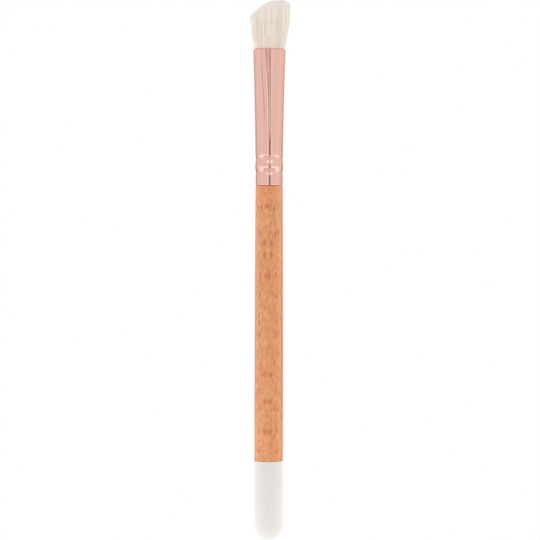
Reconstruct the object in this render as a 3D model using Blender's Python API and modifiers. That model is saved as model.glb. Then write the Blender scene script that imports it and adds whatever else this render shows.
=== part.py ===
"""Angled contour brush, modelled as the pieces it is assembled from.

A turned beech handle ends in a white dipped coat at the bottom and in a tenon at the top. A seamless
rose-gold ferrule is crimped on the tenon and flattens from a round tube to an oval mouth. The hair
bundle is bound with thread, potted in resin inside the ferrule and cut at a slant above the mouth.

The brush stands on its dipped end. The origin is on the handle's axis at the lowest point of the
dome, +Z runs up to the hair, +X is the tall side of the tuft and -Y is the front.
All lengths are in metres.
"""

import math
import random

import bmesh
import bpy

# Fits
SEAT_GAP = 0.0001
MERGE_DISTANCE = 0.000001

# Handle, from the bottom up
COAT_HEIGHT = 0.0245
WOOD_LENGTH = 0.0837
BUTT_DIAMETER = 0.0088
NECK_DIAMETER = 0.00835
SHOULDER_ROUND = 0.00025
DOME_HEIGHT = 0.0046
COAT_WALL = 0.0003
TENON_REACH = 0.0066
TENON_CHAMFER = 0.0004
GLUE_FILM = 0.0002
TAPER_POWER = 1.5

# Ferrule, from the bottom up: a straight foot, two crimped grooves with a bead between, then the taper
FERRULE_LENGTH = 0.0421
FERRULE_WALL = 0.0003
FOOT_DIAMETER = 0.00833
BEAD_DIAMETER = 0.00862
TUBE_DIAMETER = 0.00848
LOW_GROOVE_DIAMETER = 0.00815
HIGH_GROOVE_DIAMETER = 0.00818
FOOT_LENGTH = 0.0025
LOW_GROOVE_ENTRY = 0.0015
LOW_GROOVE_EXIT = 0.002
HIGH_GROOVE_ENTRY = 0.0024
HIGH_GROOVE_EXIT = 0.0011
MOUTH_WIDTH = 0.00989
MOUTH_DEPTH = 0.0066
LIP_HEIGHT = 0.0004
LIP_TURN = 0.0001
EDGE_ROUND = 0.0001
FLATTENING_POWER = 1.4
ROUND_EXPONENT = 2.0
MOUTH_EXPONENT = 2.2

# Hair above the mouth
TUFT_LENGTH = 0.0147
TUFT_WIDTH = 0.0128
SLANT_DROP = 0.006
SLANT_PEAK = 0.0022
CORNER_RADIUS = 0.0022
BELLY_DEPTH = 0.0086
CHISEL_DEPTH = 0.0032
CHISEL_DROP = 0.0014
TIP_SCATTER = 0.0003
SPREAD_POWER = 2.0
STRAND_COLUMNS = 18
STRAND_ROWS = 9
STRAND_GAP = 0.00009
CELL_SHIFT_SHARE = 0.2
RING_SHIFT_SHARE = 0.05
STRAND_RING_SHARES = ((0.46, 1.18), (0.86, 0.84))

# Hair and its seat inside the ferrule, from the mouth down
HAIR_RECESS = 0.0003
COLLAR_LENGTH = 0.006
WAIST_SLOPE = 0.0005
THREAD_THICKNESS = 0.0004
BINDING_LENGTH = 0.0024
ROOT_LENGTH = 0.002

# Facets round every turned or lofted piece, and along each curved stretch
SIDES = 32
DOME_STEPS = 7
BARREL_STEPS = 8
SLOPE_STEPS = 3
TAPER_STEPS = 9
ROUND_STEPS = 4
HAIR_SEED = 7

# Heights that several pieces share
SHOULDER_TOP = COAT_HEIGHT + WOOD_LENGTH
FERRULE_BASE = SHOULDER_TOP + SEAT_GAP
CRIMP_TOP = FOOT_LENGTH + LOW_GROOVE_ENTRY + LOW_GROOVE_EXIT + HIGH_GROOVE_ENTRY + HIGH_GROOVE_EXIT
TENON_TOP = CRIMP_TOP + TENON_REACH
HAIR_TOP = FERRULE_LENGTH - HAIR_RECESS
COLLAR_BOTTOM = HAIR_TOP - COLLAR_LENGTH
BINDING_TOP = COLLAR_BOTTOM - WAIST_SLOPE - SEAT_GAP
BINDING_BOTTOM = BINDING_TOP - BINDING_LENGTH
CUP_RIM = BINDING_BOTTOM - SEAT_GAP
HAIR_BOTTOM = CUP_RIM - ROOT_LENGTH

# How far each inner piece lies inside the ferrule's outer face
BORE_INSET = FERRULE_WALL + SEAT_GAP
GLUED_INSET = BORE_INSET + GLUE_FILM + SEAT_GAP
BOUND_INSET = BORE_INSET + THREAD_THICKNESS + SEAT_GAP


def srgb(red, green, blue):
    """Linear colour of an 8-bit screen colour."""
    channels = []
    for level in (red, green, blue):
        share = level / 255
        channels.append(share / 12.92 if share <= 0.04045 else ((share + 0.055) / 1.055) ** 2.4)
    return (*channels, 1.0)


def finish(name, colour, roughness, metallic=0.0):
    """Principled material of one piece."""
    material = bpy.data.materials.new(name)
    material.use_nodes = True
    shader = material.node_tree.nodes["Principled BSDF"]
    shader.inputs["Base Color"].default_value = colour
    shader.inputs["Roughness"].default_value = roughness
    shader.inputs["Metallic"].default_value = metallic
    return material


def blend(start, end, share):
    """Value between start and end at a share of the way."""
    return start + (end - start) * share


def smooth(share):
    """Ease in and out between 0 and 1."""
    return share * share * (3 - 2 * share)


class Brush:
    """The assembly: its collection, and the empty that carries every piece."""

    def __init__(self, name):
        self.collection = bpy.data.collections.new(name)
        bpy.context.scene.collection.children.link(self.collection)
        self.carrier = bpy.data.objects.new(f"{name}_frame", None)
        self.collection.objects.link(self.carrier)

    def add(self, name, mesh, material, height=0.0):
        """Place one piece at a height on the axis."""
        piece = bpy.data.objects.new(name, mesh)
        piece.parent = self.carrier
        piece.location = (0, 0, height)
        mesh.materials.append(material)
        self.collection.objects.link(piece)
        return piece

    def turn(self, name, profile, material, height=0.0, ring=False):
        """Turn a profile of (radius, height) points, listed down its outer side, round the axis."""
        mesh = bpy.data.meshes.new(name)
        points = [(radius, 0, level) for radius, level in profile]
        edges = [(i, i + 1) for i in range(len(points) - 1)]
        if ring:
            edges.append((len(points) - 1, 0))
        mesh.from_pydata(points, edges, [])
        piece = self.add(name, mesh, material, height)
        screw = piece.modifiers.new("turning", "SCREW")
        screw.axis = "Z"
        screw.steps = SIDES
        screw.render_steps = SIDES
        screw.use_merge_vertices = True
        screw.merge_threshold = MERGE_DISTANCE
        screw.use_smooth_shade = True
        return piece

    def loft(self, name, rings, material, height=0.0, caps=True, loop=False):
        """Skin a chain of rings of points, with flat ends, open ends or the last ring joined to the first."""
        bm = bmesh.new()
        levels = [[bm.verts.new(point) for point in ring] for ring in rings]
        pairs = list(zip(levels, levels[1:]))
        if loop:
            pairs.append((levels[-1], levels[0]))
        for lower, upper in pairs:
            for i in range(SIDES):
                j = (i + 1) % SIDES
                bm.faces.new((lower[i], lower[j], upper[j], upper[i]))
        if caps:
            bm.faces.new(levels[0][::-1])
            bm.faces.new(levels[-1])
        mesh = bpy.data.meshes.new(name)
        bm.to_mesh(mesh)
        bm.free()
        mesh.shade_smooth()
        mesh.set_sharp_from_angle(angle=math.radians(40))
        return self.add(name, mesh, material, height)


def arc(centre, radii, start, end, steps):
    """Points of an elliptical arc of (radius, height) points, angles in degrees from the outward side."""
    points = []
    for step in range(steps + 1):
        angle = math.radians(blend(start, end, step / steps))
        points.append((centre[0] + radii[0] * math.cos(angle), centre[1] + radii[1] * math.sin(angle)))
    return points


def dome(inset):
    """Rounded bottom end, from its widest ring down to the pole, an inset inside the coat's outer face."""
    radii = (BUTT_DIAMETER / 2 - inset, DOME_HEIGHT - inset)
    points = arc((0, DOME_HEIGHT), radii, 0, -90, DOME_STEPS)
    points[-1] = (0, inset)
    return points


def crimp_profile():
    """Outer (radius, height) points of the ferrule from its bottom edge to the top of its crimps."""
    turns = (
        (LOW_GROOVE_ENTRY, LOW_GROOVE_DIAMETER),
        (LOW_GROOVE_EXIT, BEAD_DIAMETER),
        (HIGH_GROOVE_ENTRY, HIGH_GROOVE_DIAMETER),
        (HIGH_GROOVE_EXIT, TUBE_DIAMETER),
    )
    radius = FOOT_DIAMETER / 2
    height = FOOT_LENGTH
    points = [(radius, 0), (radius, height)]
    for length, diameter in turns:
        for step in range(1, SLOPE_STEPS + 1):
            share = step / SLOPE_STEPS
            points.append((blend(radius, diameter / 2, smooth(share)), height + length * share))
        radius = diameter / 2
        height += length
    return points


def section(height, inset=0.0):
    """Half width, half depth and roundness exponent of the ferrule above its crimps."""
    share = (height - CRIMP_TOP) / (FERRULE_LENGTH - CRIMP_TOP)
    flat = share**FLATTENING_POWER
    half_width = blend(TUBE_DIAMETER, MOUTH_WIDTH, flat) / 2 - inset
    half_depth = blend(TUBE_DIAMETER, MOUTH_DEPTH, flat) / 2 - inset
    return half_width, half_depth, blend(ROUND_EXPONENT, MOUTH_EXPONENT, share)


def oval(half_width, half_depth, exponent, height):
    """Ring of points on a rounded oval, counter-clockwise from above."""
    points = []
    for i in range(SIDES):
        angle = 2 * math.pi * i / SIDES
        along, across = math.cos(angle), math.sin(angle)
        x = math.copysign(abs(along) ** (2 / exponent), along) * half_width
        y = math.copysign(abs(across) ** (2 / exponent), across) * half_depth
        points.append((x, y, height))
    return points


def oval_place(across, deep, height, inset):
    """Point of the ferrule's section at (across, deep), each from -1 to 1 over a square pressed oval."""
    half_width, half_depth, exponent = section(height, inset)
    x = across * (1 - deep * deep / 2) ** (1 / exponent)
    y = deep * (1 - across * across / 2) ** (1 / exponent)
    return x * half_width, y * half_depth


def handle_profile():
    """Outline of the handle from the tenon's top down to the pole of its rounded end."""
    glued = TUBE_DIAMETER / 2 - GLUED_INSET
    top = FERRULE_BASE + TENON_TOP
    points = [(0, top), (glued - TENON_CHAMFER, top), (glued, top - TENON_CHAMFER)]
    points.append((glued, FERRULE_BASE + CRIMP_TOP))
    for radius, height in reversed(crimp_profile()[1:]):
        points.append((radius - BORE_INSET, FERRULE_BASE + height))
    points.append((FOOT_DIAMETER / 2 - BORE_INSET, SHOULDER_TOP))
    centre = (NECK_DIAMETER / 2 - SHOULDER_ROUND, SHOULDER_TOP - SHOULDER_ROUND)
    points += arc(centre, (SHOULDER_ROUND, SHOULDER_ROUND), 90, 0, ROUND_STEPS)
    wood_bottom = COAT_HEIGHT + SEAT_GAP
    for step in range(1, BARREL_STEPS + 1):
        share = step / BARREL_STEPS
        radius = blend(BUTT_DIAMETER, NECK_DIAMETER, (1 - share) ** TAPER_POWER) / 2
        points.append((radius, blend(centre[1], wood_bottom, share)))
    inset = COAT_WALL + SEAT_GAP
    points.append((BUTT_DIAMETER / 2 - inset, wood_bottom))
    return points + dome(inset)


def coat_profile():
    """Outline of the dipped coat from its inner pole, round its rim, down to its outer pole."""
    rim = (BUTT_DIAMETER / 2 - COAT_WALL / 2, COAT_HEIGHT - COAT_WALL / 2)
    points = dome(COAT_WALL)[::-1]
    points += arc(rim, (COAT_WALL / 2, COAT_WALL / 2), 180, 0, ROUND_STEPS)
    return points + dome(0)


def ferrule_rings():
    """Outer rings of the ferrule: the crimps, the flattening taper and the turned-in lip."""
    rings = [oval(radius, radius, ROUND_EXPONENT, height) for radius, height in crimp_profile()]
    lip_bottom = FERRULE_LENGTH - LIP_HEIGHT
    for step in range(1, TAPER_STEPS + 1):
        height = blend(CRIMP_TOP, lip_bottom, step / TAPER_STEPS)
        rings.append(oval(*section(height), height))
    half_lip = FERRULE_LENGTH - LIP_HEIGHT / 2
    rings.append(oval(*section(half_lip, LIP_TURN / 4), half_lip))
    rings.append(oval(*section(FERRULE_LENGTH, LIP_TURN), FERRULE_LENGTH))
    return rings


def section_ring(height, inset):
    """Ring of points that follows the ferrule's section at an inset."""
    return oval(*section(height, inset), height)


def resin_rings():
    """Potting resin: a plug over the tenon with a cup round the hair's root."""
    bottom = TENON_TOP + SEAT_GAP
    floor = HAIR_BOTTOM - SEAT_GAP
    inset = BORE_INSET + THREAD_THICKNESS
    return [
        section_ring(bottom, BORE_INSET),
        section_ring((bottom + floor) / 2, BORE_INSET),
        section_ring(floor, BORE_INSET),
        section_ring(CUP_RIM, BORE_INSET),
        section_ring(CUP_RIM, inset),
        section_ring(floor, inset),
    ]


def binding_rings():
    """Thread bound round the hair above the resin, with rounded upper and lower turns."""
    inner = BORE_INSET + THREAD_THICKNESS
    middle = BORE_INSET + THREAD_THICKNESS / 2
    low = BINDING_BOTTOM + THREAD_THICKNESS / 2
    high = BINDING_TOP - THREAD_THICKNESS / 2
    return [
        section_ring(BINDING_BOTTOM, middle),
        section_ring(low, BORE_INSET),
        section_ring(high, BORE_INSET),
        section_ring(BINDING_TOP, middle),
        section_ring(high, inner),
        section_ring(low, inner),
    ]


def spread(height):
    """Width of the tuft at a height over the mouth, as a share of its width there."""
    start = 2 * section(HAIR_TOP, BORE_INSET)[0]
    rise = 1 - (1 - min(height / TUFT_LENGTH, 1)) ** SPREAD_POWER
    return blend(start, TUFT_WIDTH, rise) / start


def thickness(height):
    """Depth of the tuft at a height over the mouth, as a share of its depth there."""
    start = 2 * section(HAIR_TOP, BORE_INSET)[1]
    share = min(height / TUFT_LENGTH, 1)
    belly = blend(start, BELLY_DEPTH, share)
    edge = blend(BELLY_DEPTH, CHISEL_DEPTH, share)
    return blend(belly, edge, share) / start


def cut_height(x):
    """Height over the mouth of the slanted cut: a slow curve down to -X, a round corner at +X."""
    half = TUFT_WIDTH / 2
    if x < SLANT_PEAK:
        share = (SLANT_PEAK - x) / (SLANT_PEAK + half)
        return TUFT_LENGTH - SLANT_DROP * share * share
    share = max(0, min(1, (x - half + CORNER_RADIUS) / CORNER_RADIUS))
    return TUFT_LENGTH - CORNER_RADIUS * (1 - math.sqrt(1 - share * share))


def tip_height(x, y, scatter):
    """Height over the mouth at which a strand rooted at (x, y) meets the cut, its outer layers lower."""
    half_depth = section(HAIR_TOP, BORE_INSET)[1]
    drop = CHISEL_DROP * (y / half_depth) ** 2 + scatter
    height = TUFT_LENGTH
    for _ in range(6):
        height = cut_height(x * spread(height)) - drop
    return height


def hair_backing(bm):
    """Bundled roots as one solid, its top a net of triangular cells. Returns the cells."""
    levels = (
        (HAIR_TOP, BORE_INSET),
        (COLLAR_BOTTOM, BORE_INSET),
        (COLLAR_BOTTOM - WAIST_SLOPE, BOUND_INSET),
        (HAIR_BOTTOM, BOUND_INSET),
    )
    bmesh.ops.create_grid(bm, x_segments=STRAND_COLUMNS, y_segments=STRAND_ROWS, size=1)
    shift = random.Random(HAIR_SEED)
    for vert in bm.verts:
        if not vert.is_boundary:
            vert.co.x += shift.uniform(-1, 1) * 2 * CELL_SHIFT_SHARE / STRAND_COLUMNS
            vert.co.y += shift.uniform(-1, 1) * 2 * CELL_SHIFT_SHARE / STRAND_ROWS
    cells = bmesh.ops.triangulate(bm, faces=bm.faces[:], quad_method="SHORT_EDGE")["faces"]
    edges = [edge for edge in bm.edges if edge.is_boundary]
    for level in range(1, len(levels)):
        grown = bmesh.ops.extrude_edge_only(bm, edges=edges)["geom"]
        edges = [item for item in grown if isinstance(item, bmesh.types.BMEdge) and item.is_boundary]
        for vert in {vert for edge in edges for vert in edge.verts}:
            vert.co.z = level
    bmesh.ops.holes_fill(bm, edges=edges)
    for vert in bm.verts:
        height, inset = levels[round(vert.co.z)]
        x, y = oval_place(vert.co.x, vert.co.y, height, inset)
        vert.co = (x, y, height - FERRULE_LENGTH)
    bmesh.ops.recalc_face_normals(bm, faces=bm.faces[:])
    return cells


def grow_strand(bm, face, chance):
    """Raise one three-sided strand from a cell: it follows the tuft's spread and ends in a point."""
    root = face.calc_center_median()
    sides = [vert.co - root for vert in face.verts]
    length = tip_height(root.x, root.y, chance.uniform(0, TIP_SCATTER))
    for length_share, width_share in STRAND_RING_SHARES:
        height = length * (length_share + chance.uniform(-1, 1) * RING_SHIFT_SHARE)
        centre = strand_place(root, height)
        face = bmesh.ops.extrude_discrete_faces(bm, faces=[face])["faces"][0]
        for vert, side in zip(face.verts, sides):
            vert.co = centre + side * width_share
    tip = bmesh.ops.poke(bm, faces=[face])["verts"][0]
    tip.co = strand_place(root, length)


def strand_place(root, height):
    """Point at a height over the mouth on the path of the strand from a root."""
    place = root.copy()
    place.x *= spread(height)
    place.y *= thickness(height)
    place.z = height
    return place


def add_hair(brush, material):
    """The hair: bundled roots inside the ferrule and one strand on each cell of their top."""
    bm = bmesh.new()
    cells = hair_backing(bm)
    bmesh.ops.inset_individual(bm, faces=cells, thickness=STRAND_GAP / 2, use_even_offset=True)
    chance = random.Random(HAIR_SEED)
    for cell in cells:
        grow_strand(bm, cell, chance)
    mesh = bpy.data.meshes.new("hair_tuft")
    bm.to_mesh(mesh)
    bm.free()
    brush.add("hair_tuft", mesh, material, FERRULE_BASE + FERRULE_LENGTH)


def add_ferrule(brush, material):
    """The ferrule: an open skin given its wall, with both edges rounded."""
    ferrule = brush.loft("ferrule", ferrule_rings(), material, FERRULE_BASE, caps=False)
    wall = ferrule.modifiers.new("wall", "SOLIDIFY")
    wall.thickness = FERRULE_WALL
    wall.offset = -1
    wall.use_even_offset = True
    edge = ferrule.modifiers.new("edge_rounding", "BEVEL")
    edge.width = EDGE_ROUND
    edge.segments = 2
    edge.limit_method = "ANGLE"
    edge.angle_limit = math.radians(50)


def glue_profile():
    """Outline of the glue film between the tenon and the ferrule, above the crimps."""
    outer = TUBE_DIAMETER / 2 - BORE_INSET
    inner = outer - GLUE_FILM
    top = TENON_TOP - TENON_CHAMFER
    bottom = CRIMP_TOP + SEAT_GAP
    return [(outer, top), (outer, bottom), (inner, bottom), (inner, top)]


def clear_scene():
    """Remove every object of the opened file."""
    for item in list(bpy.data.objects):
        bpy.data.objects.remove(item, do_unlink=True)


def main():
    """Build the brush from the handle up."""
    clear_scene()
    brush = Brush("angled_contour_brush")
    beech = finish("beech_satin_lacquer", srgb(214, 150, 104), 0.45)
    white = finish("white_dip_lacquer", srgb(236, 232, 228), 0.35)
    rose = finish("rose_gold_aluminium", srgb(232, 184, 168), 0.28, 1.0)
    hair = finish("ivory_hair", srgb(226, 215, 199), 0.75)
    thread = finish("binding_thread", srgb(231, 224, 210), 0.8)
    resin = finish("clear_amber_resin", srgb(196, 160, 104), 0.2)
    glue = finish("pale_wood_glue", srgb(226, 211, 172), 0.4)

    brush.turn("handle", handle_profile(), beech)
    brush.turn("dipped_end", coat_profile(), white)
    brush.turn("tenon_glue", glue_profile(), glue, FERRULE_BASE, ring=True)
    add_ferrule(brush, rose)
    brush.loft("resin_plug", resin_rings(), resin, FERRULE_BASE)
    brush.loft("root_binding", binding_rings(), thread, FERRULE_BASE, caps=False, loop=True)
    add_hair(brush, hair)


main()
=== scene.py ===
"""Looks of the angled contour brush: fine skins, combed hair, procedural finishes, light and camera.

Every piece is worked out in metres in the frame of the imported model: +Z runs up the brush, +X is the
tall side of the tuft and -Y is the front. The four solids that show get finer skins, the tuft's in
four quarters. The pieces inside the ferrule keep their solids and get their own finishes.
"""

import logging
import math
from dataclasses import dataclass
from enum import Enum
from functools import partial, reduce

import bpy
import numpy as np
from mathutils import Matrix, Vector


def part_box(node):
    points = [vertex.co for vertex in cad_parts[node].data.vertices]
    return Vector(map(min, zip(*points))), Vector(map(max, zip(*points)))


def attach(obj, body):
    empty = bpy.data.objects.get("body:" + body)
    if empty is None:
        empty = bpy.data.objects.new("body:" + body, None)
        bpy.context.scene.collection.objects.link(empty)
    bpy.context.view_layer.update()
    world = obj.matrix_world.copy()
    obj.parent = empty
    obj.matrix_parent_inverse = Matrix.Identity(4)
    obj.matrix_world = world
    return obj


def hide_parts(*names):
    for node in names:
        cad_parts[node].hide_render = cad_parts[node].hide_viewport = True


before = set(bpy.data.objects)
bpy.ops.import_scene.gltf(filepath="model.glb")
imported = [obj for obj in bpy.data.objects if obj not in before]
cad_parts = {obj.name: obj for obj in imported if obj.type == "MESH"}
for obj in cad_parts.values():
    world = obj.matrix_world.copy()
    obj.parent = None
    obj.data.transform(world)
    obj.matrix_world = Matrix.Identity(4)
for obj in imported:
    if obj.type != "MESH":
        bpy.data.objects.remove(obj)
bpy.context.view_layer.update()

BODY = "root"
LOG = logging.getLogger("contour_brush")

Array = np.ndarray
Pair = tuple[float, float]
Trio = tuple[float, float, float]
Screen = tuple[int, int, int]
Socket = bpy.types.NodeSocket
Outputs = bpy.types.NodeOutputs

SHARP_ANGLE = math.radians(40)
ROUND_EXPONENT = 2.0
HAIR_SIDES = 3
NO_TRIANGLES = np.zeros((0, 3), int)

# The Mix node keeps its share and its two colours at these inputs, and the mixed colour here.
MIX_INPUTS = (0, 6, 7)
MIX_OUTPUT = 2


class Slot(Enum):
    """Material slots of the record, one named with each shown piece."""

    BEECH = "beech"
    WHITE_LACQUER = "white_lacquer"
    ROSE_GOLD = "rose_gold"
    HAIR = "hair"


def screen(colour: Screen) -> tuple[float, float, float, float]:
    """Turn an 8-bit screen colour into a linear colour.

    Up to a share of 0.04045 it is the share over 12.92. Above that it is the share plus 0.055, over
    1.055, to the power of 2.4.

    Args:
        colour: red, green and blue from 0 to 255.

    Returns:
        Linear red, green, blue and an alpha of 1.
    """
    share = np.array(colour) / 255
    linear = np.where(share <= 0.04045, share / 12.92, ((share + 0.055) / 1.055) ** 2.4)
    return (*linear.tolist(), 1.0)


def blend(start: Array | float, end: Array | float, share: Array | float) -> Array | float:
    """Return the value at a share of the way from start to end."""
    return start + (end - start) * share


def ease(share: Array) -> Array:
    """Return a share eased in and out, three squares less two cubes."""
    return share * share * (3 - 2 * share)


def around(count: int) -> Array:
    """Return the angles of points spread evenly round a circle, in radians from +X towards +Y."""
    return np.arange(count) * 2 * np.pi / count


def arc(centre: Pair, radii: Pair, start: float, end: float, steps: int) -> Array:
    """Points of an elliptical arc in the plane of a turned profile.

    Args:
        centre: radius and height of the arc's centre.
        radii: half width and half height of its ellipse.
        start: first angle in degrees, 0 pointing outwards and 90 up.
        end: last angle in degrees.
        steps: stretches between the points.

    Returns:
        Array of (radius, height), the centre plus the radii times cosine and sine.
    """
    angle = np.radians(np.linspace(start, end, steps + 1))
    return np.stack((centre[0] + radii[0] * np.cos(angle), centre[1] + radii[1] * np.sin(angle)), -1)


def grid_quads(rows: int, columns: int, loop: bool) -> Array:
    """Faces of a skin whose points are stored row by row and run round in each row.

    Args:
        rows: rings of points.
        columns: points in a ring.
        loop: whether the last ring joins the first.

    Returns:
        Array of four point numbers a face, each cell taken with its right and upper neighbours.
    """
    row = np.arange(rows if loop else rows - 1)[:, None]
    column = np.arange(columns)[None, :]
    above = (row + 1) % rows
    right = (column + 1) % columns
    corners = (
        row * columns + column,
        row * columns + right,
        above * columns + right,
        above * columns + column,
    )
    return np.stack(corners, -1).reshape(-1, 4)


def put_mesh(
    name: str,
    points: Array,
    quads: Array,
    triangles: Array = NO_TRIANGLES,
    smooth: bool = True,
) -> bpy.types.Object:
    """Make a piece from arrays of points and faces.

    Args:
        name: name of the piece.
        points: one row of x, y, z a point.
        quads: four point numbers a face.
        triangles: three point numbers a face.
        smooth: whether it is shaded smooth, apart from edges sharper than 40 degrees.

    Returns:
        The piece, at the origin, linked to the scene.
    """
    mesh = bpy.data.meshes.new(name)
    corners = np.concatenate((quads.ravel(), triangles.ravel())).astype(np.int32)
    totals = np.concatenate((np.full(len(quads), 4), np.full(len(triangles), 3))).astype(np.int32)
    starts = np.concatenate(([0], np.cumsum(totals)[:-1])).astype(np.int32)
    mesh.vertices.add(len(points))
    mesh.vertices.foreach_set("co", points.astype(np.float32).ravel())
    mesh.loops.add(len(corners))
    mesh.loops.foreach_set("vertex_index", corners)
    mesh.polygons.add(len(totals))
    mesh.polygons.foreach_set("loop_start", starts)
    mesh.update(calc_edges=True)
    if smooth:
        mesh.shade_smooth()
        mesh.set_sharp_from_angle(angle=SHARP_ANGLE)
    else:
        mesh.shade_flat()
    piece = bpy.data.objects.new(name, mesh)
    bpy.context.scene.collection.objects.link(piece)
    return piece


def turn_profile(name: str, profile: Array, sides: int) -> bpy.types.Object:
    """Turn a profile that starts and ends on the axis into a closed skin.

    Each ring is the radius times cosine and sine at its height. The two ends are single points,
    joined to their rings by fans of triangles.

    Args:
        name: name of the piece.
        profile: (radius, height) points, up the outer side, the first and last on the axis.
        sides: points in a ring.

    Returns:
        The turned piece.
    """
    angle = around(sides)
    radius = profile[1:-1, :1]
    height = np.broadcast_to(profile[1:-1, 1:], (len(radius), sides))
    rings = np.stack((radius * np.cos(angle), radius * np.sin(angle), height), -1)
    poles = np.zeros((2, 3))
    poles[:, 2] = profile[[0, -1], 1]
    points = np.concatenate((rings.reshape(-1, 3), poles))
    column = np.arange(sides)
    right = (column + 1) % sides
    last = (len(rings) - 1) * sides
    first_pole = np.full(sides, len(points) - 2)
    last_pole = np.full(sides, len(points) - 1)
    low_fan = np.stack((first_pole, right, column), -1)
    high_fan = np.stack((last + column, last + right, last_pole), -1)
    return put_mesh(name, points, grid_quads(len(rings), sides, False), np.concatenate((low_fan, high_fan)))


class Tree:
    """Short ways to add and join the nodes of one shader tree."""

    def __init__(self, tree: bpy.types.NodeTree) -> None:
        """Keep the tree that nodes are added to."""
        self.tree = tree

    def node(self, name: str) -> bpy.types.Node:
        """Find a node that the tree starts with by its name."""
        return self.tree.nodes[name]

    def add(self, kind: str, **settings: object) -> bpy.types.Node:
        """Add a node.

        Args:
            kind: its kind, such as TexNoise.
            **settings: its own properties.

        Returns:
            The node.
        """
        node = self.tree.nodes.new(f"ShaderNode{kind}")
        for name, value in settings.items():
            setattr(node, name, value)
        return node

    def give(self, target: Socket, value: object) -> None:
        """Lead a socket to an input, or set the input to a plain value.

        Args:
            target: the input.
            value: the socket or the plain value.
        """
        if isinstance(value, Socket):
            self.tree.links.new(value, target)
        else:
            target.default_value = value

    def feed(self, node: bpy.types.Node, **values: object) -> bpy.types.Node:
        """Give some of a node's inputs, found by name.

        Args:
            node: the node.
            **values: a socket or a plain value for each input, named with _ for a space.

        Returns:
            The node.
        """
        for name, value in values.items():
            self.give(node.inputs[name.replace("_", " ")], value)
        return node

    def fill(self, node: bpy.types.Node, *values: object) -> bpy.types.Node:
        """Give a node's first inputs, in order.

        Args:
            node: the node.
            *values: a socket or a plain value for each.

        Returns:
            The node.
        """
        for target, value in zip(node.inputs, values):
            self.give(target, value)
        return node

    def math(self, operation: str, first: Socket | float, second: Socket | float = 0.0) -> Socket:
        """Work out one operation on two values, each a socket or a number."""
        return self.fill(self.add("Math", operation=operation), first, second).outputs[0]

    def times(self, first: Socket | float, second: Socket | float) -> Socket:
        """Multiply two values, each a socket or a number."""
        return self.math("MULTIPLY", first, second)

    def total(self, *values: Socket | float) -> Socket:
        """Add up values from the first to the last."""
        return reduce(partial(self.math, "ADD"), values)

    def scaled(self, vector: Socket, rates: Socket | Trio) -> Socket:
        """Multiply a vector by rates, axis by axis."""
        return self.fill(self.add("VectorMath", operation="MULTIPLY"), vector, rates).outputs[0]

    def axes(self, vector: Socket) -> Outputs:
        """Split a vector into its X, Y and Z, found by name."""
        return self.fill(self.add("SeparateXYZ"), vector).outputs

    def noise(self, place: Socket, rate: Socket | float, **settings: float) -> Socket:
        """Noise at a rate a metre, the texture's other inputs given by name."""
        return self.feed(self.add("TexNoise"), Vector=place, Scale=rate, **settings).outputs[0]

    def fit(
        self,
        value: Socket,
        low: float,
        high: float,
        to_low: Socket | float = 0.0,
        to_high: Socket | float = 1.0,
    ) -> Socket:
        """Map a value from one range to another, held inside it.

        Args:
            value: the value.
            low: start of its range.
            high: end of its range.
            to_low: what the start becomes.
            to_high: what the end becomes.

        Returns:
            The mapped value.
        """
        node = self.add("MapRange")
        self.feed(node, Value=value, From_Min=low, From_Max=high, To_Min=to_low, To_Max=to_high)
        return node.outputs[0]

    def mix(self, share: Socket | float, first: Socket | tuple, second: Socket | tuple) -> Socket:
        """Mix two colours.

        Args:
            share: share of the second colour.
            first: a socket or a linear colour.
            second: the same.

        Returns:
            The mixed colour.
        """
        node = self.add("Mix", data_type="RGBA")
        for number, value in zip(MIX_INPUTS, (share, first, second)):
            self.give(node.inputs[number], value)
        return node.outputs[MIX_OUTPUT]


Draft = tuple[bpy.types.Material, Tree, bpy.types.Node, Socket]


def new_material(name: str) -> tuple[bpy.types.Material, Tree]:
    """Start a material.

    Args:
        name: name of the material.

    Returns:
        The material and its tree.
    """
    material = bpy.data.materials.new(name)
    material.use_nodes = True
    return material, Tree(material.node_tree)


def new_group(
    name: str,
    inputs: dict[str, float | None],
    outputs: list[str],
) -> tuple[Tree, bpy.types.Node, bpy.types.Node]:
    """Start a node group that works on a vector and plain values.

    Args:
        name: name of the group.
        inputs: default of each input, None for a vector.
        outputs: names of its value outputs.

    Returns:
        The tree, its input node and its output node.
    """
    tree = bpy.data.node_groups.new(name, "ShaderNodeTree")
    for label, default in inputs.items():
        kind = "NodeSocketVector" if default is None else "NodeSocketFloat"
        socket = tree.interface.new_socket(name=label, in_out="INPUT", socket_type=kind)
        if default is not None:
            socket.default_value = default
    for label in outputs:
        tree.interface.new_socket(name=label, in_out="OUTPUT", socket_type="NodeSocketFloat")
    return Tree(tree), tree.nodes.new("NodeGroupInput"), tree.nodes.new("NodeGroupOutput")


def make_fibres() -> bpy.types.NodeTree:
    """Group of fine lines along Z: noise read at one rate across and a slower one along.

    Returns:
        Group with inputs Vector, Across and Along (features a metre) and output Lines, 0 to 1.
    """
    inputs = {"Vector": None, "Across": 5000.0, "Along": 250.0}
    band = (0.25, 0.75)
    tree, entry, leave = new_group("fibres_along_z", inputs, ["Lines"])
    place, across, along = (entry.outputs[name] for name in inputs)
    rate = tree.feed(tree.add("CombineXYZ"), X=across, Y=across, Z=along)
    noise = tree.noise(tree.scaled(place, rate.outputs[0]), 1.0, Detail=3.0, Roughness=0.6)
    tree.feed(leave, Lines=tree.fit(noise, *band))
    return tree.tree


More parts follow.
